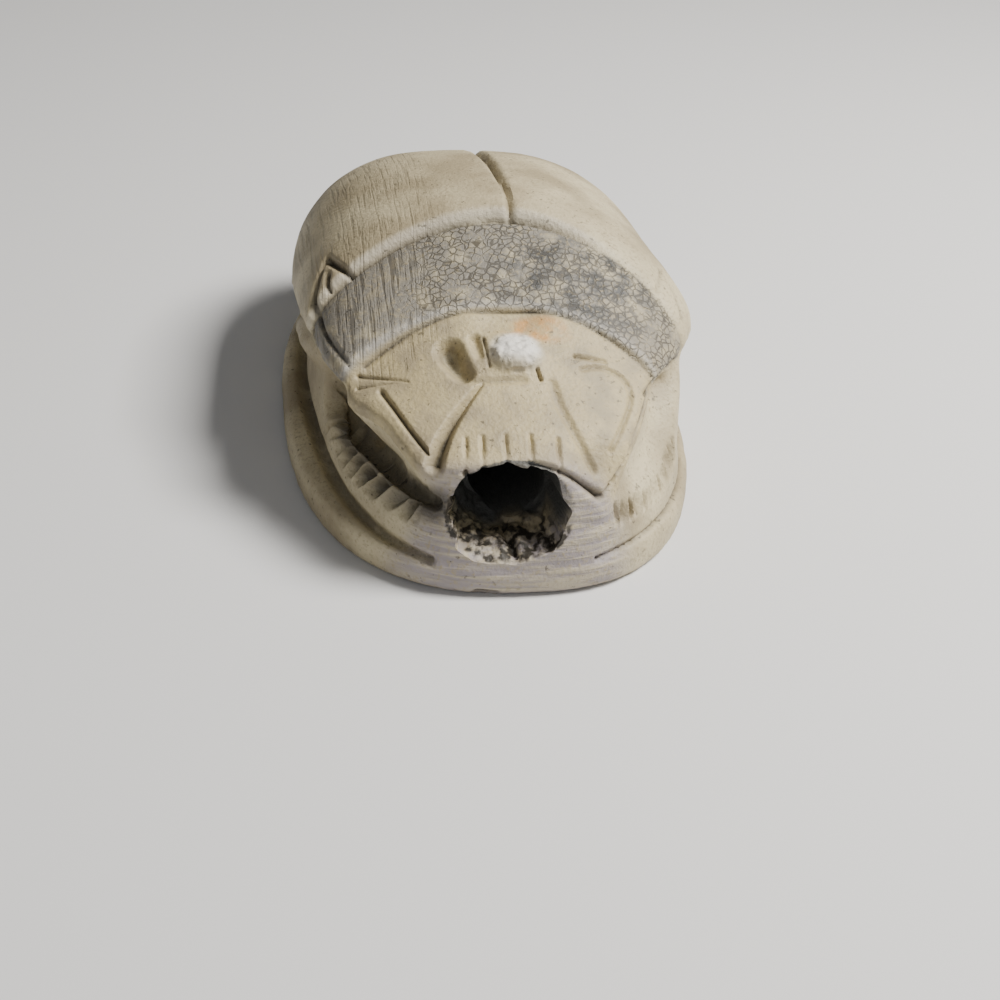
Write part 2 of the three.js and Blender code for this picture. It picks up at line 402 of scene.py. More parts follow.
@dataclass(frozen=True)
class BackForm:
    """Prothorax and wing cases: one dome, cut off in front along the collar."""

    outline: Oval = Oval(
        half_width=7.25,
        front=-10,
        rear=11.7,
        middle=0.2,
        squareness=2.6,
        rear_squareness=3,
        offset=0.3,
        right_pinch=0.27,
    )
    crest: float = 9.52
    fall: float = 0.4
    easing: float = 1.7
    roundness: float = 1.8
    edge_rear: float = 4.4
    edge_front: float = 5.4
    edge_thickness: float = 0.6
    wall_share: float = 0.84
    collar_apex: float = -5.1
    collar_curve: float = 0.052
    collar_middle: float = -0.45
    waist_apex: float = -1.3
    waist_curve_left: float = 0.035
    waist_curve_right: float = 0.07
    foot: float = 1.0
    arch_steps: int = 40

    def edge(self, y: Array) -> Array:
        """Height of the dome's lower edge."""
        return blend(self.edge_rear, self.edge_front, smooth_step(3, -3.2, y))

    def ridge(self, y: Array) -> Array:
        """Height of the dome's middle line, level behind and falling towards the head."""
        ahead = np.maximum(0, self.outline.middle - y)
        return self.crest - self.fall * ahead**2 / (ahead + self.easing)

    def arch(self, share: Array, y: Array) -> Array:
        """Height of the dome at a share of the way out."""
        lift = (1 - np.minimum(1, share) ** self.roundness) ** (1 / self.roundness)
        return blend(self.edge(y), self.ridge(y), lift)

    def height(self, x: Array, y: Array) -> Array:
        """Height of the dome over a point."""
        return self.arch(self.outline.share_at(x, y), y)

    def collar(self, x: Array) -> Array:
        """The y of the front limit of the prothorax."""
        return self.collar_apex - self.collar_curve * (x - self.collar_middle) ** 2

    def waist(self, x: Array) -> Array:
        """The y of the line between prothorax and wing cases."""
        return self.waist_apex - np.where(x > 0, self.waist_curve_right, self.waist_curve_left) * x**2

    def collar_cutter(self) -> bpy.types.Object:
        """A block whose back face follows the collar, to cut away what stands in front of it."""
        bpy.ops.mesh.primitive_cube_add(size=2, location=(0, -14, 6), scale=(9, 4, 5.4))
        cutter = named("collar_cutter")
        bpy.ops.object.transform_apply(location=True, rotation=True, scale=True)
        bpy.ops.object.mode_set(mode="EDIT")
        bpy.ops.mesh.subdivide(number_cuts=31)
        bpy.ops.object.mode_set(mode="OBJECT")
        points = take_points(cutter)
        back = points[:, 1] > -10.01
        points[back, 1] = self.collar(points[back, 0])
        set_points(cutter, points)
        return cutter

    def build(self) -> bpy.types.Object:
        """Shapes the dome and cuts it off along the collar."""
        place = self.outline.place
        arch = []
        for lift in np.linspace(0, math.pi / 2, self.arch_steps):
            share = max(0.0, math.cos(lift)) ** (2 / self.roundness)
            arch.append(Level(place, share, lambda x, y, share=share: self.arch(share, y)))
        arch[-1] = Level(place, 0, lambda x, y: self.arch(0, y))
        dome = levelled_form(
            "back_blank",
            [
                Level(place, 0, self.foot),
                Level(place, self.wall_share, self.foot),
                Level(place, self.wall_share + 0.02, lambda x, y: self.edge(y) - self.edge_thickness),
                Level(place, 0.975, lambda x, y: self.edge(y) - self.edge_thickness / 2),
                *arch,
            ],
        )
        cut_away(dome, self.collar_cutter())
        return dome


@dataclass(frozen=True)
class HeadForm:
    """The flat, tilted head with its notched front edge and its two cheeks."""

    middle: float = -0.45
    edge: float = -11.05
    edge_height: float = 4.72
    slope: float = 0.464
    crown: float = 0.052
    rounding: float = 0.13
    foot: float = 1.0
    throat: float = 2.9
    top_outline: Contour = Contour(
        corners=(
            (-0.45, -4.4), (-3.5, -4.8), (-5.5, -5.9), (-5.75, -7.0), (-5.15, -7.75), (-4.6, -8.5),
            (-4.15, -9.45), (-3.75, -10.3), (-3.05, -10.95), (-1.6, -11.1), (0.6, -11.12),
            (1.7, -11.12), (2.7, -11.0), (3.5, -10.1), (4.3, -8.6), (5.0, -6.9), (5.0, -5.9),
            (3.0, -4.9),
        ),
        centre=(-0.45, -8),
        rounding=5,
    )
    throat_outline: Contour = Contour(
        corners=(
            (-0.45, -4.4), (-3.0, -4.8), (-4.0, -5.9), (-4.1, -7.0), (-3.7, -7.9), (-3.35, -8.8),
            (-3.05, -9.7), (-2.8, -10.6), (-2.5, -11.2), (-1.6, -11.46), (0.6, -11.5), (1.7, -11.46),
            (2.75, -11.25), (3.5, -10.3), (4.3, -8.7), (4.9, -6.9), (4.9, -5.9), (3.0, -4.9),
        ),
        centre=(-0.45, -8),
        rounding=5,
    )

    def spine(self, y: Array) -> Array:
        """Where the head's crown runs: off to the left in front, under the back's own middle behind."""
        return blend(self.middle, 0.25, smooth_step(-9, -5.5, y))

    def droop(self, x: Array, y: Array) -> Array:
        """How far the right cheek's tip hangs below the crown."""
        return 0.85 * smooth_step(0.9, 2.9, x) * smooth_step(-9.4, -10.9, y)

    def height(self, x: Array, y: Array) -> Array:
        """Height of the head's upper face."""
        plane = self.edge_height + self.slope * (y - self.edge)
        crowned = plane - self.crown * (x - self.spine(y)) ** 2
        back = 0.3 * smooth_step(-6.8, -5.2, y)
        return crowned - self.droop(x, y) - back * smooth_step(1.5, 0.5, np.abs(x))

    def build(self) -> bpy.types.Object:
        """Shapes the head down to the foot of the legs."""
        top, throat = self.top_outline.place, self.throat_outline.place
        return levelled_form(
            "head_blank",
            [
                Level(throat, 0, self.foot),
                Level(throat, 1, self.foot),
                Level(throat, 1, self.throat),
                Level(top, 0.985, lambda x, y: self.height(x, y) - 3.2 * self.rounding),
                Level(top, 1, lambda x, y: self.height(x, y) - self.rounding),
                Level(top, 0.99, lambda x, y: self.height(x, y) - 0.3 * self.rounding),
                Level(top, 0.97, self.height),
                *[Level(top, share, self.height) for share in np.linspace(0.9, 0, 16)],
            ],
        )


@dataclass(frozen=True)
class LegForm:
    """The block from which the legs are carved, folded round the head and along the flanks."""

    back: BackForm
    foot: float = 0.6
    ridge: float = 3.05
    outline: Contour = Contour(
        corners=(
            (6.95, 0), (6.6, 4), (5.9, 7.6), (4.4, 10.2), (2.2, 11.6), (0, 11.9), (-2.2, 11.6),
            (-4.4, 10.2), (-5.9, 7.6), (-6.6, 4), (-6.75, 0), (-6.5, -2.6), (-6.15, -5.4),
            (-5.75, -7.3), (-5.15, -8.7), (-4.4, -10.0), (-3.55, -11.2), (-2.2, -11.8), (-0.4, -11.97),
            (1.4, -11.92), (2.7, -11.6), (4.3, -10.5), (5.3, -9.3), (6.2, -7.6), (6.75, -5.6),
            (7.05, -2.9),
        ),
        centre=(0, 0),
        rounding=8,
    )

    def top(self, share: float) -> Height:
        """Height of the legs' upper face at a share of the way out.

        Args:
            share: 1 on the outline, 0 in the middle.

        Returns:
            A function that gives the height over a point.
        """
        left = float(np.interp(share, [0, 0.74, 0.82, 0.9, 0.957], [2.2, 2.2, 2.6, 3.05, 3.0]))
        right = float(np.interp(share, [0, 0.7, 0.85, 0.93, 0.957], [4.3, 4.3, 3.55, 3.0, 2.75]))

        def height(x: Array, y: Array) -> Array:
            """Mixes the left and right sections, then climbs to the edge of the back."""
            level = blend(left, right, smooth_step(-1, 1, x))
            climb = np.where(x > 0, smooth_step(-8, -4.2, y), smooth_step(-4.5, -1.5, y))
            return blend(level, self.back.edge(y) - 0.25 + 0.15 * (1 - share), climb)

        return height

    def build(self) -> bpy.types.Object:
        """Shapes the block."""
        place = self.outline.place
        return levelled_form(
            "leg_blank",
            [
                Level(place, 0, self.foot),
                Level(place, 1, self.foot),
                Level(place, 1, 1.25),
                Level(place, 0.992, 1.7),
                Level(place, 0.976, 2.35),
                Level(place, 0.966, lambda x, y: 0.35 * 2.35 + 0.65 * self.top(0.957)(x, y)),
                *[Level(place, share, self.top(share)) for share in (0.957, 0.945, 0.93, 0.9, 0.86, 0.82)],
                *[Level(place, share, self.top(share)) for share in (0.78, 0.7, 0.6, 0.3, 0)],
            ],
        )


@dataclass(frozen=True)
class Limb:
    """A leg folded against the flank, laid along the base's oval from its root to its foot."""

    name: str
    turns: tuple[float, ...]
    shares: tuple[float, ...]
    heights: tuple[float, ...]
    thickness: tuple[float, float] = (0.5, 0.42)
    around_base: Oval = BaseBlank().outline

    def build(self, side: int) -> bpy.types.Object:
        """Shapes the leg on one side.

        Args:
            side: 1 for the right side, -1 for the left.

        Returns:
            A tapering blank with rounded ends.
        """
        rings = 28
        bpy.ops.mesh.primitive_uv_sphere_add(segments=20, ring_count=rings, radius=1)
        piece = named(f"{self.name}_{'right' if side > 0 else 'left'}")
        points = take_points(piece)
        climb = np.arccos(np.clip(-points[:, 2], -1, 1)) / math.pi
        spots = np.linspace(0, 1, len(self.turns))
        turn = np.interp(climb, spots, self.turns)
        share = np.interp(climb, spots, self.shares)
        x, y = self.around_base.place(turn, 1)
        centre = np.stack([x * share, y * share, np.interp(climb, spots, self.heights)], axis=1)
        ahead = np.stack([-np.sin(turn), np.cos(turn), np.full(len(turn), -0.6)], axis=1)
        ahead /= np.linalg.norm(ahead, axis=1)[:, None]
        outward = np.stack([np.cos(turn), np.sin(turn), np.zeros(len(turn))], axis=1)
        upward = np.cross(outward, ahead)
        girth = np.sqrt(np.maximum(0, 1 - (2 * climb - 1) ** 8)) * np.interp(climb, [0, 1], self.thickness)
        around = np.arctan2(points[:, 1], points[:, 0])
        points = centre + (girth * np.cos(around))[:, None] * outward
        points += (girth * np.sin(around))[:, None] * upward
        points[:, 0] *= side
        set_points(piece, points)
        if side > 0:
            return piece
        only(piece)
        bpy.ops.object.mode_set(mode="EDIT")
        bpy.ops.mesh.select_all(action="SELECT")
        bpy.ops.mesh.normals_make_consistent(inside=False)
        bpy.ops.object.mode_set(mode="OBJECT")
        return piece


@dataclass(frozen=True)
class Drilling:
    """The hole bored lengthwise, and the uneven mouth where its edge broke away."""

    bore: tuple[float, float, float] = (-0.3, 2.95, 1.3)
    outline: Contour = Contour(
        corners=(
            (1.6, 3.05), (1.3, 3.5), (1.2, 3.95), (1.05, 4.27), (0.75, 4.5), (0.3, 4.6), (-0.2, 4.66),
            (-0.65, 4.8), (-1.05, 4.7), (-1.6, 4.6), (-2.1, 4.3), (-2.4, 3.9), (-2.6, 3.4),
            (-2.65, 2.9), (-2.5, 2.3), (-2.2, 1.75), (-1.65, 1.42), (-1.0, 1.32), (-0.3, 1.3),
            (0.35, 1.47), (0.95, 1.7), (1.2, 2.1), (1.4, 2.55),
        ),
        centre=(-0.5, 2.95),
        rounding=1,
    )
    depths: tuple[float, ...] = (-12.6, -11.3, -10.7, -10.0, -9.3, -8.6)
    shares: tuple[float, ...] = (1.06, 0.98, 0.93, 0.87, 0.8, 0.62)
    crumble: float = 0.34
    crumble_grain: float = 0.75

    def bore_cutter(self) -> bpy.types.Object:
        """A long round rod along the beetle."""
        x, z, radius = self.bore

        def circle(turn: Array, share: float) -> tuple[Array, Array]:
            """The rod's outline, seen from the front."""
            return x + share * radius * np.cos(turn), z + share * radius * np.sin(turn)

        reach = np.linspace(-13, 13, 50)
        levels = [Level(circle, 1, along) for along in reach]
        levels = [Level(circle, 0, reach[0]), *levels, Level(circle, 0, reach[-1])]
        rod = levelled_form("bore_cutter", levels, around=72)
        points = take_points(rod)
        set_points(rod, np.stack([points[:, 0], -points[:, 2], points[:, 1]], axis=1))
        return rod

    def crumbled(self, x: Array, y: Array, z: Array) -> Array:
        """How broken the wall of the mouth is at a point: most on its floor, less on its left side."""
        floor = smooth_step(3.0, 1.9, z + 0.35 * x)
        left = 0.75 * smooth_step(-1.5, -2.3, x) * smooth_step(4.1, 3.4, z)
        return np.maximum(floor, left) * smooth_step(-8.3, -9.4, y)

    def mouth_cutter(self) -> bpy.types.Object:
        """An uneven, narrowing plug with crumbled sides: the stone that broke away round the mouth."""
        ways = np.linspace(0, 1, 44)
        depths = np.interp(ways, np.linspace(0, 1, len(self.depths)), self.depths)
        shares = np.interp(ways, np.linspace(0, 1, len(self.shares)), self.shares)
        place = self.outline.place
        levels = [Level(place, share, -depth) for share, depth in zip(shares, depths)]
        levels = [Level(place, 0, -depths[-1]), *levels[::-1], Level(place, 0, -depths[0])]
        plug = levelled_form("mouth_cutter", levels, around=184)
        points = take_points(plug)
        points = np.stack([points[:, 0], -points[:, 2], points[:, 1]], axis=1)
        x, y, z = points.T
        outward = np.stack([x - self.outline.centre[0], np.zeros(len(x)), z - self.outline.centre[1]], axis=1)
        outward /= np.maximum(np.linalg.norm(outward, axis=1), 0.2)[:, None]
        lumps = 1 - 2 * np.abs(cloud_noise(points * [1, 0.8, 1], self.crumble_grain, 31, 4))
        streaks = cloud_noise(points * [1.6, 0.5, 0.35], 0.5, 37, 2)
        rough = self.crumbled(x, y, z)
        inner = smooth_step(-12.0, -11.3, y) * smooth_step(-8.6, -8.9, y)
        shift = inner * (rough * self.crumble * (lumps * 0.75 - 0.45) + 0.05 * streaks)
        set_points(plug, points + outward * shift[:, None])
        return plug


class Section(Enum):
    """The shape a tool leaves across a cut."""

    NOTCH = "notch"
    HOLLOW = "hollow"


@dataclass(frozen=True)
class Cut:
    """One stroke of the carver's tool along a broken line, in millimetres."""

    path: Points
    width: tuple[float, float]
    depth: tuple[float, float]
    section: Section = Section.NOTCH
    # How dark the cut is left: its dirt and its painted shade.
    grime_and_shade: float = 0.8

    def settled(self, points: Array) -> "Cut":
        """The same stroke, its line laid on the nearest points of the skin."""
        corners = np.array(self.path, float)
        steps = np.concatenate([[0], np.cumsum(np.linalg.norm(np.diff(corners, axis=0), axis=1))])
        dense = np.linspace(0, steps[-1], max(3, int(steps[-1] / 0.3) + 1))
        line = np.stack([np.interp(dense, steps, corners[:, axis]) for axis in range(3)], axis=1)
        laid = [points[np.argmin(np.sum((points - spot) ** 2, axis=1))] for spot in line]
        for _ in range(8):
            laid = [laid[0], *[(a + 2 * b + c) / 4 for a, b, c in zip(laid, laid[1:], laid[2:])], laid[-1]]
        return replace(self, path=[tuple(spot) for spot in laid])

    def depth_at(self, points: Array) -> Array:
        """How deep the stroke is at each point of the skin."""
        gap, share = walk(points, self.path)
        half = blend(self.width[0], self.width[1], share) / 2
        deep = blend(self.depth[0], self.depth[1], share)
        near = np.clip(1 - gap / half, 0, 1)
        if self.section is Section.NOTCH:
            return deep * near**1.15
        return deep * (1 - (1 - near) ** 2) ** 2


def on_surface(path: Points, height: Height) -> list[tuple[float, float, float]]:
    """Lays a line of x and y on a surface.

    Args:
        path: Corners, two numbers each.
        height: The surface.

    Returns:
        The corners with their heights.
    """
    flat = np.array(path, float)
    return [(x, y, z) for (x, y), z in zip(flat, height(flat[:, 0], flat[:, 1]))]


@dataclass(frozen=True)
class Bristles:
    """Saw-toothed steps filed across the ridge of a foreleg."""

    ridge: Points
    count: float
    depth: float
    reach: float
    slant: float
    start: float = 0.0
    seed: int = 5

    def depth_at(self, points: Array) -> Array:
        """How deep the steps are at each point of the skin."""
        gap, share = walk(points, self.ridge)
        lift = points[:, 2] - np.interp(share, [0, 1], [self.ridge[0][2], self.ridge[-1][2]])
        uneven = 0.35 * lattice_noise(np.stack([share * self.count, share * 0, share * 0], axis=1), self.seed)
        phase = share * self.count + self.slant * lift + uneven
        along = phase - np.floor(phase)
        tooth = np.where(along < 0.18, along / 0.18, (1 - along) / 0.82)
        each = np.stack([np.floor(phase), phase * 0, phase * 0], axis=1)
        strength = 0.65 + 0.35 * lattice_noise(each, self.seed + 1)
        inside = smooth_step(self.start, self.start + 0.06, share) * smooth_step(1.0, 0.96, share)
        return self.depth * tooth * strength * inside * smooth_step(self.reach, 0.35 * self.reach, gap)


@dataclass(frozen=True)
class Carving:
    """All lines cut into the joined blanks."""

    back: BackForm
    head: HeadForm

    left_bristles: Bristles = Bristles(
        ridge=(
            (-3.3, -10.75, 2.9), (-4.2, -9.75, 2.85), (-4.95, -8.8, 2.8),
            (-5.55, -7.4, 2.75), (-6.25, -4.3, 2.8),
        ),
        count=9,
        depth=0.8,
        reach=0.85,
        slant=0.9,
    )
    right_bristles: Bristles = Bristles(
        ridge=(
            (3.2, -11.15, 2.55), (4.1, -10.6, 2.6), (4.85, -10.0, 2.6),
            (5.6, -8.8, 2.6), (6.3, -6.9, 2.8),
        ),
        count=13,
        depth=0.5,
        reach=0.65,
        slant=-0.7,
        seed=9,
    )
    left_foot: Points = (
        (-3.2, -11.6, 1.25), (-3.6, -11.3, 1.4), (-4.35, -10.5, 1.45), (-5.1, -9.25, 1.45),
        (-5.7, -7.85, 1.45), (-6.1, -6.3, 1.45), (-6.45, -4.0, 1.45), (-6.7, -1.5, 1.45),
        (-6.75, 1, 1.45), (-6.55, 4.5, 1.45), (-5.9, 7.6, 1.45), (-4.4, 10.2, 1.45), (-2.2, 11.6, 1.4),
    )
    right_foot: Points = (
        (2.6, -11.75, 1.3), (3.7, -11.0, 1.35), (4.75, -10.0, 1.38), (5.6, -8.75, 1.4),
        (6.35, -7.2, 1.4), (6.8, -5.2, 1.4), (7.05, -2.9, 1.42), (6.95, 0, 1.42), (6.6, 4, 1.42),
        (5.9, 7.6, 1.42), (4.4, 10.2, 1.42), (2.2, 11.6, 1.4),
    )
    # Path of the hollow between the left foreleg and the head; it also places the painted shade there.
    recess: Points = (
        (-6.0, -4.2, 3.4), (-5.2, -6.2, 2.8), (-4.5, -7.9, 2.5), (-3.85, -9.2, 2.5),
        (-3.2, -10.2, 2.8), (-2.85, -10.8, 3.05),
    )
    tooth_gaps: tuple[float, ...] = (-1.98, -1.45, -0.67, 0.18, 1.1)

    def head_cuts(self) -> list[Cut]:
        """The folds of the head, the lines of its cheeks, and the gaps between its teeth."""
        lay = self.head.height
        fold_left = on_surface(
            [(-1.2, -8.05), (-1.7, -8.6), (-2.1, -9.05), (-2.5, -9.55), (-2.85, -10.15), (-3.05, -10.75)], lay
        )
        fold_right = on_surface([
            (1.15, -8.05), (1.3, -8.85), (1.75, -9.75),
            (2.05, -10.2), (2.35, -10.45),
        ], lay)
        cheek_left = on_surface([
            (-4.55, -7.45), (-4.1, -8.45), (-3.75, -9.25),
            (-3.4, -9.9), (-3.2, -10.25),
        ], lay)
        cheek_back = on_surface([(-5.2, -6.45), (-4.4, -6.95), (-3.65, -7.45)], lay)
        cheek_ridge = on_surface([(-5.3, -6.9), (-4.6, -7.12), (-4.0, -7.35)], lay)
        panel = on_surface(
            [
                (2.3, -7.3), (2.5, -7.03), (3.35, -6.97), (4.0, -7.1),
                (4.3, -7.4), (3.85, -8.35), (3.4, -9.25), (3.0, -9.85),
            ],
            lay,
        )
        shelf = on_surface([(2.15, -6.88), (2.6, -6.85), (3.2, -6.78)], lay)
        under_edge = [
            (0.1, -11.0, 4.7), (0.7, -11.02, 4.6), (1.4, -11.12, 4.33),
            (2.1, -11.2, 3.9), (2.72, -11.2, 3.45),
        ]
        contour = [
            (2.75, -11.05, 3.45), (3.2, -10.5, 3.65), (3.5, -10.05, 4.0),
            (3.9, -9.3, 4.4), (4.4, -8.2, 4.8),
        ]
        cuts = [
            Cut(fold_left, (0.26, 0.8), (0.16, 0.6)),
            Cut(fold_right, (0.6, 0.45), (0.1, 0.14), Section.HOLLOW, 0.25),
            Cut(cheek_left, (0.3, 0.26), (0.17, 0.2)),
            Cut(cheek_back, (0.24, 0.14), (0.14, 0.06)),
            Cut(cheek_ridge, (0.2, 0.12), (0.1, 0.04)),
            Cut(panel, (0.3, 0.3), (0.1, 0.12), Section.NOTCH, 0.4),
            Cut(shelf, (0.3, 0.26), (0.16, 0.08), Section.NOTCH, 0.4),
            Cut(under_edge, (0.36, 0.5), (0.2, 0.34)),
            Cut([*contour, (4.85, -7.2, 5.2)], (0.2, 0.24), (0.14, 0.16)),
        ]
        for x in self.tooth_gaps:
            gap = on_surface([(x + 0.03, -10.0), (x, -10.6), (x - 0.02, -11.0)], lay)
            gap.append((x - 0.02, -11.15, gap[-1][2] - 0.25))
            cuts.append(Cut(gap, (0.22, 0.3), (0.1, 0.34), Section.NOTCH, 0.45))
        return cuts

    def back_cuts(self) -> list[Cut]:
        """The seam between the wing cases, the collar, the margins and the shoulder notches."""
        lay = self.back.height
        seam_y = np.linspace(self.back.waist_apex - 0.1, 11.4, 30)
        seam = on_surface([(0.48 - 0.03 * min(y, 6.5), y) for y in seam_y], lay)
        across = np.linspace(-5.0, 5.0, 40)
        collar = [(x, float(self.back.collar(x)) - 0.02, 0.0) for x in across]
        heights = self.head.height(across, self.back.collar(across))
        collar = [(x, y, max(z, 5.2)) for (x, y, _), z in zip(collar, heights)]
        margin = on_surface([(-6.52, -3.1), (-6.42, -4.0), (-6.25, -4.7), (-6.0, -5.35), (-5.5, -6.5)], lay)
        right_margin = [(4.75, -7.5, 5.35), (5.3, -6.85, 5.35), (5.9, -6.1, 5.25), (6.5, -5.3, 5.15)]
        cuts = [
            Cut(seam, (0.34, 0.85), (0.26, 0.5)),
            Cut(collar, (0.24, 0.24), (0.14, 0.12)),
            Cut(margin, (0.3, 0.26), (0.2, 0.14)),
            Cut(right_margin, (0.3, 0.4), (0.16, 0.2)),
        ]
        outer = on_surface([(-6.05, -0.5), (-6.4, -1.6), (-6.68, -2.75)], lay)
        inner = on_surface([(-6.02, -0.6), (-5.72, -1.55), (-5.45, -2.2)], lay)
        lens = on_surface([(-6.03, -1.6), (-6.14, -2.4)], lay)
        cuts.append(Cut(outer, (0.24, 0.6), (0.16, 0.26)))
        cuts.append(Cut(inner, (0.44, 0.4), (0.38, 0.3)))
        cuts.append(Cut(lens, (0.36, 0.3), (0.26, 0.2)))
        worn_outer = on_surface([(6.2, -1.6), (6.5, -2.6), (6.7, -3.6)], lay)
        worn_inner = on_surface([(6.2, -1.6), (5.95, -2.4), (5.7, -3.3)], lay)
        cuts.append(Cut(worn_outer, (0.24, 0.5), (0.06, 0.1)))
        cuts.append(Cut(worn_inner, (0.36, 0.3), (0.1, 0.08)))
        return cuts

    def leg_cuts(self) -> list[Cut]:
        """The line round the foot of the legs, and the chip in the base's front edge."""
        return [
            Cut(self.left_foot, (0.5, 0.9), (0.36, 0.6), Section.HOLLOW, 0.5),
            Cut(self.right_foot, (0.26, 0.4), (0.24, 0.3)),
            Cut(self.recess, (1.8, 0.6), (0.9, 0.4), Section.HOLLOW, 0.3),
            Cut([(-1.5, -12.0, 0.0), (-0.85, -12.05, 0.02)], (0.5, 0.4), (0.22, 0.16)),
        ]

    def horn_cuts(self) -> list[Cut]:
        """The hollow and the broken facets where the horn was lost."""
        lay = self.head.height
        hollow = on_surface([(-2.2, -6.6), (-2.15, -7.1), (-1.8, -7.65)], lay)
        facet = on_surface([(-1.3, -6.35), (-1.2, -7.0)], lay)
        facet_edge = on_surface([(-1.0, -6.3), (-0.95, -7.1), (-0.9, -7.5)], lay)
        step = on_surface([(-1.75, -7.9), (-0.8, -8.1), (0.2, -8.0)], lay)
        slit = on_surface([(0.72, -7.6), (0.8, -7.95)], lay)
        return [
            Cut(hollow, (1.25, 1.0), (0.66, 0.4), Section.HOLLOW, 0.45),
            Cut(facet, (0.62, 0.5), (0.24, 0.14), Section.HOLLOW, 0.1),
            Cut(facet_edge, (0.2, 0.16), (0.16, 0.08)),
            Cut(step, (0.5, 0.4), (0.14, 0.1), Section.NOTCH, 0.3),
            Cut(slit, (0.16, 0.18), (0.26, 0.2)),
        ]

    def all_cuts(self) -> list[Cut]:
        """Every stroke, from head to base."""
        return [*self.head_cuts(), *self.back_cuts(), *self.leg_cuts(), *self.horn_cuts()]


@dataclass(frozen=True)
class HandTraces:
    """What the tool and long wear left on the skin: depths and sizes in millimetres."""

    wobble: float = 0.045
    wobble_grain: float = 3.2
    tremble: float = 0.014
    tremble_grain: float = 0.7
    crumb: float = 0.1
    crumb_grain: float = 0.42
    pull: float = 0.09
    waist_step: float = 0.26
    waist_run: float = 1.3
    waist_bevel: float = 0.4
    waist_crease: float = 0.2
    crease_half_width: float = 0.17


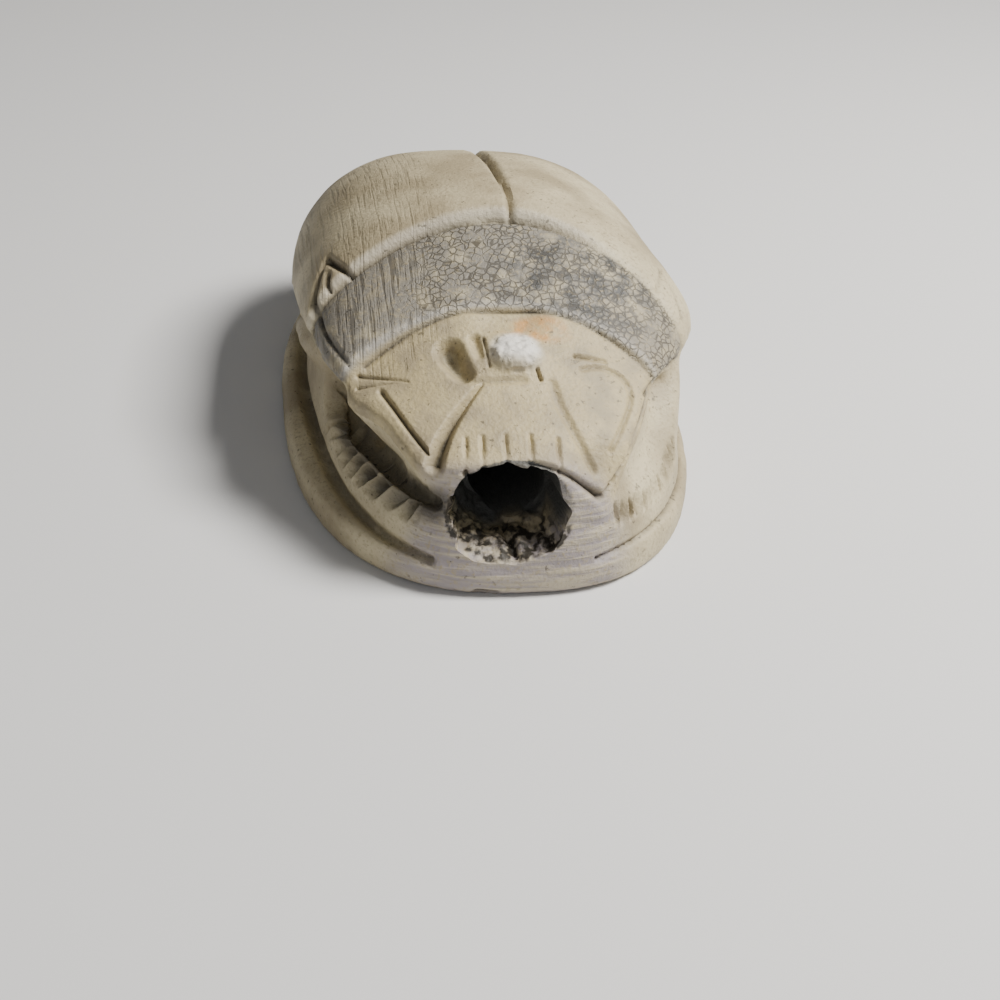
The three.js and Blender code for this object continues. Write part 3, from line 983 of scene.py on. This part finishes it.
@dataclass
class Amulet:
    """The whole amulet, one carved and drilled stone."""

    base: BaseBlank = field(default_factory=BaseBlank)
    back: BackForm = field(default_factory=BackForm)
    head: HeadForm = field(default_factory=HeadForm)
    drilling: Drilling = field(default_factory=Drilling)
    limbs: tuple[Limb, ...] = (
        Limb("middle_leg", (-0.26, -0.02, 0.2, 0.36), (0.78, 0.87, 0.89, 0.86), (4.4, 3.7, 2.5, 1.7)),
        Limb("hind_leg", (0.14, 0.4, 0.66, 0.9), (0.83, 0.88, 0.88, 0.85), (4.3, 3.5, 2.4, 1.7)),
    )
    traces: HandTraces = field(default_factory=HandTraces)
    horn: tuple[float, float, float] = (0.05, -6.95, 6.5)
    horn_size: tuple[float, float, float] = (0.92, 0.8, 0.36)
    horn_sink: float = 0.05
    skin_voxel: float = 0.2
    level_foot: float = 0.03
    sharp_angle: float = 42
    merge_gap: float = 0.004

    def __post_init__(self) -> None:
        """Derives the legs and the carving from the forms they lie on."""
        self.legs = LegForm(back=self.back)
        self.carving = Carving(back=self.back, head=self.head)

    def rough_out(self) -> bpy.types.Object:
        """Shapes the blanks and joins them.

        Returns:
            The amulet before its carving.
        """
        horn_x, horn_y, _ = self.horn
        bpy.ops.mesh.primitive_ico_sphere_add(subdivisions=4, radius=1, location=(horn_x, horn_y, 0))
        stump = named("horn_stump")
        bpy.ops.object.transform_apply(location=True, rotation=False, scale=False)
        points = take_points(stump)
        lift = float(self.head.height(np.array([horn_x]), np.array([horn_y]))[0]) - self.horn_sink
        points = (points - [horn_x, horn_y, 0]) * self.horn_size + [horn_x, horn_y, lift]
        set_points(stump, points)
        blanks = [self.back.build(), self.base.build(), self.legs.build(), self.head.build(), stump]
        blanks += [limb.build(side) for limb in self.limbs for side in (-1, 1)]
        stone = fuse(blanks, "carved_scarab", self.skin_voxel)
        LOG.info("roughed out: %d vertices", len(stone.data.vertices))
        return stone

    def refine(self, stone: bpy.types.Object, wanted: Callable[[Array], Array]) -> None:
        """Divides the squares of the skin where finer carving comes.

        Args:
            stone: The skin.
            wanted: Tells from the middles of its faces which are divided.
        """
        mesh = stone.data
        middles = np.empty(len(mesh.polygons) * 3)
        mesh.polygons.foreach_get("center", middles)
        chosen = wanted(middles.reshape(-1, 3))
        only(stone)
        bpy.ops.object.mode_set(mode="EDIT")
        bpy.ops.mesh.select_mode(type="FACE")
        bpy.ops.mesh.select_all(action="DESELECT")
        bpy.ops.object.mode_set(mode="OBJECT")
        mesh.polygons.foreach_set("select", chosen)
        bpy.ops.object.mode_set(mode="EDIT")
        bpy.ops.mesh.subdivide(number_cuts=1)
        bpy.ops.object.mode_set(mode="OBJECT")

    def wants_detail(self, middles: Array) -> Array:
        """The head, the front and everything near a carved line."""
        x, y, z = middles.T
        front = (y < -4.9) & (z > 0.15)
        back = (y >= -4.9) & (y < -1.0) & (z > 5.0)
        near = np.zeros(len(middles), bool)
        for cut in self.carving.all_cuts():
            near |= walk(middles, cut.path)[0] < max(cut.width) / 2 + 0.15
        return front | near | back

    def wants_sharpness(self, middles: Array) -> Array:
        """The narrowest lines."""
        near = np.zeros(len(middles), bool)
        for cut in self.carving.head_cuts() + self.carving.leg_cuts()[3:] + self.carving.horn_cuts():
            near |= walk(middles, cut.path)[0] < max(cut.width) / 2 + 0.03
        for bristles in (self.carving.left_bristles, self.carving.right_bristles):
            near |= walk(middles, bristles.ridge)[0] < bristles.reach
        return near | (np.linalg.norm(middles - self.horn, axis=1) < 0.95)

    def carve(self, stone: bpy.types.Object) -> None:
        """Cuts all lines into the skin and leaves the traces of the hand; the dirt and painted shade in the
        cuts are noted.

        Args:
            stone: The skin.
        """
        points = take_points(stone)
        normals = take_normals(stone)
        depth = np.zeros(len(points))
        dirt_and_shade = np.zeros(len(points))
        for cut in self.carving.all_cuts():
            stroke = cut.settled(points).depth_at(points)
            depth = np.maximum(depth, stroke)
            # Painted shade: the darkness noted in each cut grows with its depth, standing for the shade in it
            # as well as for dirt.
            filled = np.minimum(1, stroke / max(0.12, 0.7 * max(cut.depth)))
            dirt_and_shade = np.maximum(dirt_and_shade, filled**1.7 * cut.grime_and_shade)
        for bristles in (self.carving.left_bristles, self.carving.right_bristles):
            stroke = bristles.depth_at(points)
            depth = np.maximum(depth, stroke)
            # Painted shade in the bristles' steps, darkest where they are deepest.
            dirt_and_shade = np.maximum(dirt_and_shade, 0.9 * (stroke / bristles.depth) ** 2)
        x, y, z = points.T
        behind = y - self.back.waist(x)
        on_back = (np.abs(z - self.back.height(x, y)) < 0.7) & (z > 5.0)
        worn = 1 - 0.75 * smooth_step(0.5, 4.5, x)
        traces = self.traces
        sunk = traces.waist_step * worn * np.exp(np.minimum(behind, 0) / traces.waist_run)
        sunk = sunk * smooth_step(traces.waist_bevel, 0.0, behind)
        crease = np.clip(1 - np.abs(behind + 0.06) / traces.crease_half_width, 0, 1)
        crease = traces.waist_crease * worn * crease
        step = np.where(on_back & (y > -5.0), sunk + crease, 0)
        hand = traces.wobble * cloud_noise(points, traces.wobble_grain, 3, 2)
        hand = hand + traces.tremble * cloud_noise(points, traces.tremble_grain, 8, 2)
        stump = np.linalg.norm((points - self.horn) * [1, 1, 0.8], axis=1)
        crumbs = 1 - 2 * np.abs(cloud_noise(points, traces.crumb_grain, 21, 3))
        hand -= traces.crumb * crumbs * smooth_step(1.0, 0.72, stump) * (z > 6.2)
        front = smooth_step(-10.9, -11.25, y) * smooth_step(0.1, 0.4, z) * smooth_step(4.3, 3.9, z)
        pulls = cloud_noise(np.stack([x * 0.35, y * 0.6, z * 3.2 + 0.1 * x], axis=1), 1.0, 14, 2)
        hand += traces.pull * front * pulls
        hand *= z > 0.02
        points -= normals * (depth + step + hand)[:, None]
        set_points(stone, points)
        # Painted shade along the waist's crease.
        dirt_and_shade = np.maximum(dirt_and_shade, np.where(on_back, 5 * crease, 0))
        layer = stone.data.attributes.new("dirt_and_shade", "FLOAT", "POINT")
        layer.data.foreach_set("value", np.clip(dirt_and_shade, 0, 1).astype(np.float32))

    def build(self) -> bpy.types.Object:
        """Makes the amulet from blanks to finished skin."""
        stone = self.rough_out()
        relax(stone, 3)
        self.refine(stone, self.wants_detail)
        self.refine(stone, self.wants_sharpness)
        relax(stone, 3)
        self.carve(stone)
        relax(stone, 1, 0.25)
        cut_away(stone, self.drilling.mouth_cutter())
        cut_away(stone, self.drilling.bore_cutter())
        only(stone)
        bpy.ops.object.mode_set(mode="EDIT")
        bpy.ops.mesh.select_all(action="SELECT")
        bpy.ops.mesh.remove_doubles(threshold=self.merge_gap)
        bpy.ops.mesh.dissolve_degenerate(threshold=self.merge_gap / 4)
        bpy.ops.mesh.delete_loose()
        bpy.ops.object.mode_set(mode="OBJECT")
        points = take_points(stone)
        points[:, 2] = np.where(points[:, 2] < self.level_foot, 0, points[:, 2])
        set_points(stone, points * MM)
        only(stone)
        bpy.ops.object.shade_smooth_by_angle(angle=math.radians(self.sharp_angle))
        LOG.info("carved: %d vertices, %d faces", len(stone.data.vertices), len(stone.data.polygons))
        return stone


def linear(hexed: str) -> tuple[float, float, float, float]:
    """Turns a hex colour into the linear values the shader takes."""
    parts = [int(hexed[i : i + 2], 16) / 255 for i in (1, 3, 5)]
    return (*[p / 12.92 if p <= 0.04045 else ((p + 0.055) / 1.055) ** 2.4 for p in parts], 1.0)


@dataclass(frozen=True)
class Patch:
    """A soft area of the skin, in millimetres: its middle, its reach each way and how soft it ends."""

    middle: tuple[float, float, float]
    reach: tuple[float, float, float]

    def at(self, points: Array) -> Array:
        """1 in the middle of the patch, 0 outside it."""
        away = np.linalg.norm((points - self.middle) / self.reach, axis=1)
        return smooth_step(1.25, 0.55, away + 0.18 * cloud_noise(points, 1.1, 51, 2))


def add_node(
    tree: bpy.types.NodeTree, kind: str, settings: dict | None = None, **inputs: object
) -> bpy.types.Node:
    """Adds a node with its settings and links.

    Args:
        tree: The material's nodes.
        kind: The node's type.
        settings: The node's own settings.
        inputs: A value or a socket for each input, by its name with underscores for blanks, or by
            an underscore and its number.

    Returns:
        The node.
    """
    made = tree.nodes.new(kind)
    for key, value in (settings or {}).items():
        setattr(made, key, value)
    for key, value in inputs.items():
        socket = made.inputs[int(key[1:])] if key[1:].isdigit() else made.inputs[key.replace("_", " ")]
        if isinstance(value, bpy.types.NodeSocket):
            tree.links.new(value, socket)
        else:
            socket.default_value = value
    return made


@dataclass(frozen=True)
class Pattern:
    """A cloudy pattern: lumps in a millimetre each way, fineness, and the window of it that shows."""

    per_mm: tuple[float, float, float]
    detail: float
    low: float
    high: float


@dataclass(frozen=True)
class Layer:
    """A colour laid over the stone where its painted mask and its pattern both are."""

    colour: str
    mask: str = ""
    pattern: str = ""
    strength: float = 1.0


@dataclass(frozen=True)
class AgedSteatite:
    """Glazed steatite whose glaze has worn to a pale, matte, crackled skin with old dirt and painted shade in
    the cuts.
    """

    cream: str = "#c4b897"
    tan: str = "#9c8f72"
    ivory: str = "#b5a57a"
    grey: str = "#7f7a70"
    slate: str = "#4b4b49"
    lilac: str = "#8d868b"
    # Dark earth tone: dirt, cracks, file marks and pits, and painted shade in the cuts and the left recess;
    # also the dark gaps among the crumbs in the mouth.
    soil_and_shade: str = "#2f2a21"
    rust: str = "#c8924e"
    # Whitish: the broken facets of the horn, and the painted highlight on the waist and collar bevels.
    chalk: str = "#ddd9d0"
    # Painted shade deep in the bore and on the upper right of its mouth.
    bore_shade: str = "#434340"
    # Worn glaze over steatite, handled for long: matte with a faint sheen.
    roughness: float = 0.58
    bump: float = 0.09
    cells_per_mm: float = 3.7
    crack: tuple[float, float] = (0.11, 0.02)
    bend: Pattern = Pattern((2.5, 2.5, 2.5), 3, 0, 1)

    def patterns(self) -> dict[str, Pattern]:
        """The patterns by name. Grit of 0.02 mm would not show, so grain and pits are drawn coarser."""
        return {
            "clouds": Pattern((0.35, 0.35, 0.35), 4, 0.38, 0.62),
            "mottle": Pattern((0.9, 0.9, 0.9), 5, 0.44, 0.62),
            "grey_blots": Pattern((1.4, 1.4, 1.4), 5, 0.15, 0.5),
            "slate_blots": Pattern((1.4, 1.4, 1.4), 5, 0.38, 0.62),
            "rust_blots": Pattern((1.4, 1.4, 1.4), 5, 0.35, 0.6),
            "dirt_and_shade_blots": Pattern((1.4, 1.4, 1.4), 5, 0.1, 0.5),
            "grain": Pattern((7, 7, 7), 6, 0.52, 0.75),
            "pits": Pattern((5, 5, 5), 2, 0.68, 0.74),
            "gaps": Pattern((2.6, 2.6, 2.6), 5, 0.44, 0.56),
            "file_marks": Pattern((9, 0.5, 0.35), 3, 0.5, 0.66),
            "pulls": Pattern((0.5, 0.8, 6), 3, 0.42, 0.66),
            "broken": Pattern((1.1, 1.1, 1.1), 3, 0.34, 0.5),
        }

    def layers(self) -> list[Layer]:
        """The colours over the cream ground, from the lowest to the topmost."""
        return [
            Layer(self.tan, pattern="clouds"),
            Layer(self.ivory, "head", strength=0.75),
            Layer(self.tan, "head", "mottle"),
            Layer(self.grey, "grey", "grey_blots"),
            Layer(self.slate, "slate", "slate_blots"),
            # The front face's lilac grey: partly its own tone, partly painted shade on the face turned from
            # the light.
            Layer(self.lilac, "front", strength=0.85),
            Layer(self.cream, "front", "pulls", 0.6),
            Layer(self.tan, pattern="grain"),
            Layer(self.rust, "rust", "rust_blots"),
            Layer(self.chalk, "chalk"),
            # Painted highlight on the bevel behind the waist and on the collar's ledge.
            Layer(self.chalk, "edge", strength=0.3),
            Layer(self.soil_and_shade, "strokes", "file_marks", 0.55),
            Layer(self.soil_and_shade, "crackle", "cracks", 0.8),
            Layer(self.soil_and_shade, pattern="pits", strength=0.6),
            # Painted shade in the hollow between the left foreleg and the head.
            Layer(self.soil_and_shade, "recess", strength=0.8),
            # Dirt and painted shade in the cuts, in blots.
            Layer(self.soil_and_shade, "dirt_and_shade", "dirt_and_shade_blots"),
            Layer(self.soil_and_shade, "crumbs", "gaps"),
            # Painted shade inside the bore.
            Layer(self.bore_shade, "bore_shade"),
        ]

    def paint(self, stone: bpy.types.Object, amulet: "Amulet") -> None:
        """Writes where each trace of age lies as attributes of the skin, with the painted shade and
        highlight.
        """
        points = take_points(stone) / MM
        x, y, z = points.T
        back, head = amulet.back, amulet.head
        before_waist = smooth_step(0.05, -0.1, y - back.waist(x))
        prothorax = before_waist * smooth_step(-0.1, 0.1, y - back.collar(x)) * (z > 5.2)
        mouth_x, mouth_z = amulet.drilling.outline.centre
        bore_x, bore_z, radius = amulet.drilling.bore
        in_mouth = (np.hypot((x - mouth_x) / 2.2, (z - mouth_z) / 1.85) < 0.98) & (y > -11.75) & (y < -8.4)
        inside = in_mouth | ((np.hypot(x - bore_x, z - bore_z) < radius + 0.02) & (y > -8.7))
        # Painted shade in the bore: deep inside, and on the upper right of the mouth's wall, turned away from
        # the light.
        deep = inside * smooth_step(-10.2, -9.3, y + 0.5 * cloud_noise(points, 0.8, 44, 2))
        deep = np.maximum(deep, inside * smooth_step(2.3, 3.3, z + 0.5 * x) * smooth_step(-11.7, -10.8, y))
        # Painted shade in the hollow beside the left foreleg, darkest along its path.
        recess = smooth_step(1.0, 0.35, walk(points, amulet.carving.recess)[0])
        # Dirt and painted shade lie in the cuts; the glaze is crackled and greyed on the prothorax, filed on
        # its left side.
        masks = {
            # Painted highlight: a pale band on the bevel behind the waist and on the collar's ledge.
            "edge": np.exp(-(((y - back.waist(x) - 0.22) / 0.16) ** 2)) * (z > 5.2) * smooth_step(5, 2.5, x)
            + 0.8 * np.exp(-(((y - back.collar(x) - 0.12) / 0.12) ** 2)) * (z > 5.4),
            "crackle": prothorax * smooth_step(-4.2, -1.8, x + 0.8 * cloud_noise(points, 1.6, 41, 2)),
            "strokes": np.maximum(prothorax, 0.5 * (z > 5)) * smooth_step(-1.2, -3.4, x) * (y > -7),
            # Grey glaze on the prothorax, full on its left side and three quarters on its right; the extra
            # grey on the left is painted shade.
            "grey": prothorax * (0.75 + 0.25 * smooth_step(4.5, 2.5, x)),
            "slate": Patch((2.7, -3.9, 8.0), (3.0, 2.4, 3.0)).at(points) * prothorax,
            "head": smooth_step(0.2, -0.1, y - back.collar(x)) * (z > head.height(x, y) - 0.5) * (y < -4.6),
            # The front face's lilac grey: partly its own tone, partly painted shade on the face turned from
            # the light.
            "front": smooth_step(-10.2, -11.2, y) * smooth_step(4.9, 4.3, z) * smooth_step(4.6, 2.6, x),
            "rust": Patch((0.9, -6.0, 7.0), (1.25, 0.62, 0.7)).at(points),
            "chalk": Patch((0.05, -6.95, 6.7), (0.9, 0.8, 0.9)).at(points),
            # Painted shade inside the bore.
            "bore_shade": np.maximum(deep, 0.0),
            "crumbs": inside * (1 - deep),
            "recess": recess,
        }
        for name, values in masks.items():
            layer = stone.data.attributes.new(name, "FLOAT", "POINT")
            layer.data.foreach_set("value", np.clip(values, 0, 1).astype(np.float32))

    def material(self) -> bpy.types.Material:
        """Builds the stone's surface from the painted attributes and the patterns."""
        stone = bpy.data.materials.new("aged_glazed_steatite")
        stone.use_nodes = True
        tree = stone.node_tree
        shader = tree.nodes["Principled BSDF"]
        place = add_node(tree, "ShaderNodeTexCoord").outputs["Object"]
        times = {"operation": "MULTIPLY", "use_clamp": True}
        shows, clouds = {}, {}
        for name, pattern in {**self.patterns(), "bend": self.bend}.items():
            scale = [count / MM for count in pattern.per_mm]
            scaled = add_node(tree, "ShaderNodeMapping", Vector=place, Scale=scale).outputs[0]
            noise = add_node(tree, "ShaderNodeTexNoise", Vector=scaled, Scale=1.0, Detail=pattern.detail)
            clouds[name] = noise.outputs["Fac"]
            window = {"Value": clouds[name], "From_Min": pattern.low, "From_Max": pattern.high}
            shows[name] = add_node(tree, "ShaderNodeMapRange", **window).outputs[0]
        scale = [self.cells_per_mm / MM] * 3
        scaled = add_node(tree, "ShaderNodeMapping", Vector=place, Scale=scale).outputs[0]
        together = {"operation": "ADD"}
        bent = add_node(tree, "ShaderNodeVectorMath", together, _0=scaled, _1=clouds["bend"]).outputs[0]
        to_edge = {"feature": "DISTANCE_TO_EDGE"}
        cells = add_node(tree, "ShaderNodeTexVoronoi", to_edge, Vector=bent, Scale=1.0)
        window = {"Value": cells.outputs["Distance"], "From_Min": self.crack[0], "From_Max": self.crack[1]}
        cracks = add_node(tree, "ShaderNodeMapRange", **window).outputs[0]
        shows["cracks"] = add_node(tree, "ShaderNodeMath", times, _0=cracks, _1=shows["broken"]).outputs[0]
        colour: object = linear(self.cream)
        spread = {}
        for layer in self.layers():
            share: object = 1.0
            if layer.pattern:
                share = shows[layer.pattern]
            if layer.mask:
                painted = add_node(tree, "ShaderNodeAttribute", {"attribute_name": layer.mask}).outputs["Fac"]
                share = add_node(tree, "ShaderNodeMath", times, _0=painted, _1=share).outputs[0]
            spread[layer.pattern] = share
            if layer.strength < 1:
                share = add_node(tree, "ShaderNodeMath", times, _0=share, _1=layer.strength).outputs[0]
            mixed = {"_0": share, "_6": colour, "_7": linear(layer.colour)}
            colour = add_node(tree, "ShaderNodeMix", {"data_type": "RGBA"}, **mixed).outputs[2]
        tree.links.new(colour, shader.inputs["Base Color"])
        raised = ((clouds["grain"], 0.5), (spread["pulls"], 0.3))
        sunk = ((spread["file_marks"], 0.3), (spread["cracks"], 0.5), (spread["pits"], 1.0))
        heights = []
        for parts in (raised, sunk):
            total: object = 0.0
            for source, weight in parts:
                gathered = {"_0": source, "_1": weight, "_2": total}
                steps = {"operation": "MULTIPLY_ADD", "use_clamp": True}
                total = add_node(tree, "ShaderNodeMath", steps, **gathered).outputs[0]
            heights.append(total)
        less = {"operation": "SUBTRACT", "use_clamp": True}
        height = add_node(tree, "ShaderNodeMath", less, _0=heights[0], _1=heights[1]).outputs[0]
        relief = add_node(tree, "ShaderNodeBump", Height=height, Distance=self.bump * MM, Strength=0.9)
        tree.links.new(relief.outputs[0], shader.inputs["Normal"])
        shader.inputs["Roughness"].default_value = self.roughness
        return stone


@dataclass(frozen=True)
class Studio:
    """Pale floor, soft lights and the camera."""

    azimuth: float = 10.4
    elevation: float = 32.9
    roll: float = 4.8
    distance: float = 59.8
    lens: float = 60.18
    aim: tuple[float, float, float] = (-0.08, -7.0, 0.66)

    def add_camera(self) -> None:
        """Adds the camera, looking at the front of the head from above."""
        azimuth, elevation, roll = (math.radians(a) for a in (self.azimuth, self.elevation, self.roll))
        level = math.cos(elevation)
        back = Vector((-math.sin(azimuth) * level, -math.cos(azimuth) * level, math.sin(elevation)))
        bpy.ops.object.camera_add(location=(Vector(self.aim) + back * self.distance) * MM)
        camera = named("camera")
        turned = (-back).to_track_quat("-Z", "Y").to_matrix().to_4x4()
        spin = turned @ Matrix.Rotation(roll, 4, "Z")
        camera.rotation_euler = spin.to_euler()
        camera.data.lens = self.lens
        camera.data.sensor_width = 36
        camera.data.clip_start = 1 * MM
        camera.data.clip_end = 5
        bpy.context.scene.camera = camera

    def add_light(
        self, name: str, place: tuple[float, float, float], size: float, power: float, colour: tuple
    ) -> None:
        """Adds a square soft light aimed at the amulet.

        Args:
            name: The light's name.
            place: Where it stands, in millimetres.
            size: Its side, in millimetres.
            power: Its power in watts.
            colour: Its linear colour.
        """
        bpy.ops.object.light_add(type="AREA", location=Vector(place) * MM)
        light = named(name)
        light.data.size = size * MM
        light.data.energy = power
        light.data.color = colour
        light.rotation_euler = (Vector((0, -4, 4)) - Vector(place)).to_track_quat("-Z", "Y").to_euler()

    def build(self) -> None:
        """Adds floor, lights, world and camera."""
        self.add_camera()
        bpy.ops.mesh.primitive_plane_add(size=1.2, location=(0, 0, 0))
        floor = named("floor")
        pale = bpy.data.materials.new("pale_studio_card")
        pale.use_nodes = True
        # Uncoated card: even, pale and without gloss, so that only the stone draws the eye.
        card = pale.node_tree.nodes["Principled BSDF"]
        card.inputs["Base Color"].default_value = (0.7, 0.7, 0.7, 1)
        card.inputs["Roughness"].default_value = 0.8
        floor.data.materials.append(pale)
        self.add_light("key_light", (75, -12, 105), 45, 0.36, (1, 0.97, 0.92))
        self.add_light("fill_light", (-30, -110, 60), 90, 0.024, (0.95, 0.96, 1))
        world = bpy.data.worlds.new("soft_room")
        world.use_nodes = True
        world.node_tree.nodes["Background"].inputs["Color"].default_value = (0.97, 0.98, 1, 1)
        world.node_tree.nodes["Background"].inputs["Strength"].default_value = 0.13
        bpy.context.scene.world = world


def main() -> None:
    """Builds the amulet, dresses it, and sets the studio."""
    logging.basicConfig(level=logging.INFO, format="%(name)s: %(message)s")
    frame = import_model()
    bpy.ops.object.select_all(action="DESELECT")
    LOG.info("frame with %s", ", ".join(frame["nodes"]))
    amulet = Amulet()
    stone = amulet.build()
    finish = AgedSteatite()
    finish.paint(stone, amulet)
    stone.data.materials.clear()
    stone.data.materials.append(finish.material())
    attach(stone, "root")
    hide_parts("scarab")
    Studio().build()


if __name__ == "__main__":
    main()
